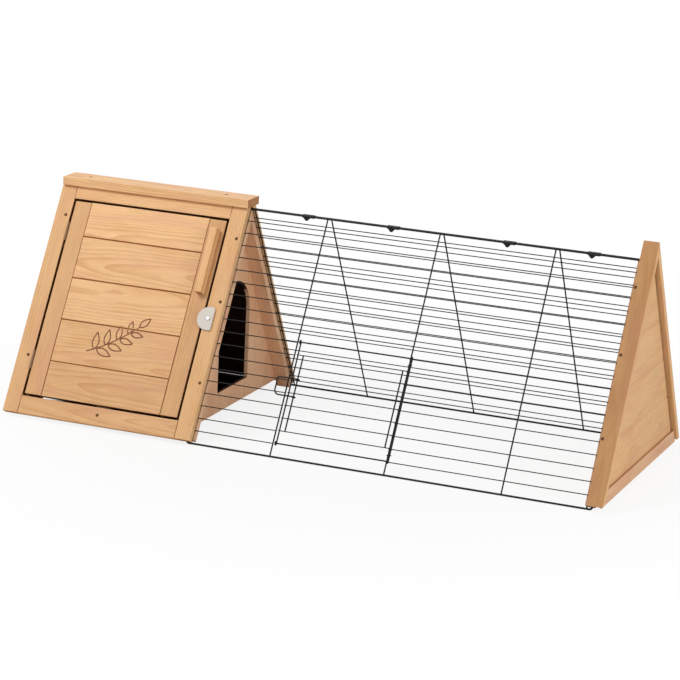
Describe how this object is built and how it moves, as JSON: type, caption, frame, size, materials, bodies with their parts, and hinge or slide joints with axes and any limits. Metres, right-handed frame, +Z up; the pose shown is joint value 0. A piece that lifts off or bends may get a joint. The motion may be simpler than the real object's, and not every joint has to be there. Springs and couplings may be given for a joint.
{
  "type": "rabbit house",
  "caption": "Ridge-shaped timber hutch with a panelled door, a turn button and an arched doorway to a wire run with its own wire door, closed by a plank end wall.",
  "frame": {"origin": "on the floor, under the middle of the house's bounding box", "axes": "+X along the ridge from the hutch to the run's end wall, +Y to the rear slope, +Z up; the doors are on the -Y slope"},
  "size_m": [1.28, 0.5344, 0.4745],
  "materials": {
    "timber": "clear oiled fir boards, satin",
    "inner_timber": "plain fir, matt",
    "black_wire": "black powder-coated steel wire",
    "clip_plastic": "matt black",
    "button_plastic": "light grey, satin",
    "screw_steel": "zinc-plated",
    "hinge_steel": "zinc-plated"
  },
  "bodies": {
    "frame": {"front_left_stile": "timber", "front_right_stile": "timber", "front_bottom_rail": "timber", "front_top_rail": "timber", "rear_left_stile": "timber", "rear_right_stile": "timber", "rear_bottom_rail": "timber", "rear_top_rail": "timber", "rear_planks": "timber", "left_wall_planks": "timber", "left_wall_rail": "timber", "left_wall_cleats": "inner_timber", "partition": "inner_timber", "mesh_cleat_front": "inner_timber", "mesh_cleat_rear": "inner_timber", "ridge_batten": "inner_timber", "ridge_cap": "timber", "door_stop": "inner_timber", "end_post_front": "timber", "end_post_rear": "timber", "end_planks": "timber", "end_rail": "timber", "end_cleats": "inner_timber", "front_mesh_border": "black_wire", "front_mesh_uprights": "black_wire", "front_mesh_bars": "black_wire", "rear_mesh_border": "black_wire", "rear_mesh_uprights": "black_wire", "rear_mesh_bars": "black_wire", "ridge_clips": "clip_plastic", "frame_screws": "screw_steel", "cap_screws": "screw_steel", "hinge_frame_leaves": "hinge_steel", "hinge_pins": "hinge_steel", "hinge_frame_screws": "screw_steel", "button_screw": "screw_steel", "wire_hinge_rings": "black_wire"},
    "hutch_door": {"door_left_stile": "timber", "door_right_stile": "timber", "door_plank_1": "timber", "door_plank_2": "timber", "door_plank_3": "timber", "door_plank_4": "timber", "door_plank_5": "timber", "door_handle": "timber", "handle_screws": "screw_steel", "hinge_door_leaves": "hinge_steel", "hinge_door_screws": "screw_steel"},
    "turn_button": {"turn_button": "button_plastic"},
    "wire_door": {"wire_door_frame": "black_wire", "wire_door_eyes": "black_wire", "wire_door_stiffeners": "black_wire", "wire_door_bars": "black_wire"},
    "wire_latch": {"wire_latch": "black_wire"}
  },
  "joints": [
    {"name": "hutch_door_hinge", "type": "hinge", "parent": "frame", "child": "hutch_door", "pos_m": [-0.6035, -0.14153, 0.23041], "axis": [0, -0.5, -0.866], "range_deg": [0, 170]},
    {"name": "turn_button_pivot", "type": "hinge", "parent": "frame", "child": "turn_button", "pos_m": [-0.2415, -0.14282, 0.23197], "axis": [0, -0.866, 0.5], "continuous": true},
    {"name": "wire_door_hinge", "type": "hinge", "parent": "frame", "child": "wire_door", "pos_m": [0.1975, -0.19129, 0.11862], "axis": [0, 0.5, 0.866], "range_deg": [0, 90]},
    {"name": "wire_latch_pivot", "type": "hinge", "parent": "wire_door", "child": "wire_latch", "pos_m": [-0.028, -0.18571, 0.12828], "axis": [0, 0.5, 0.866], "range_deg": [0, 150]}
  ]
}
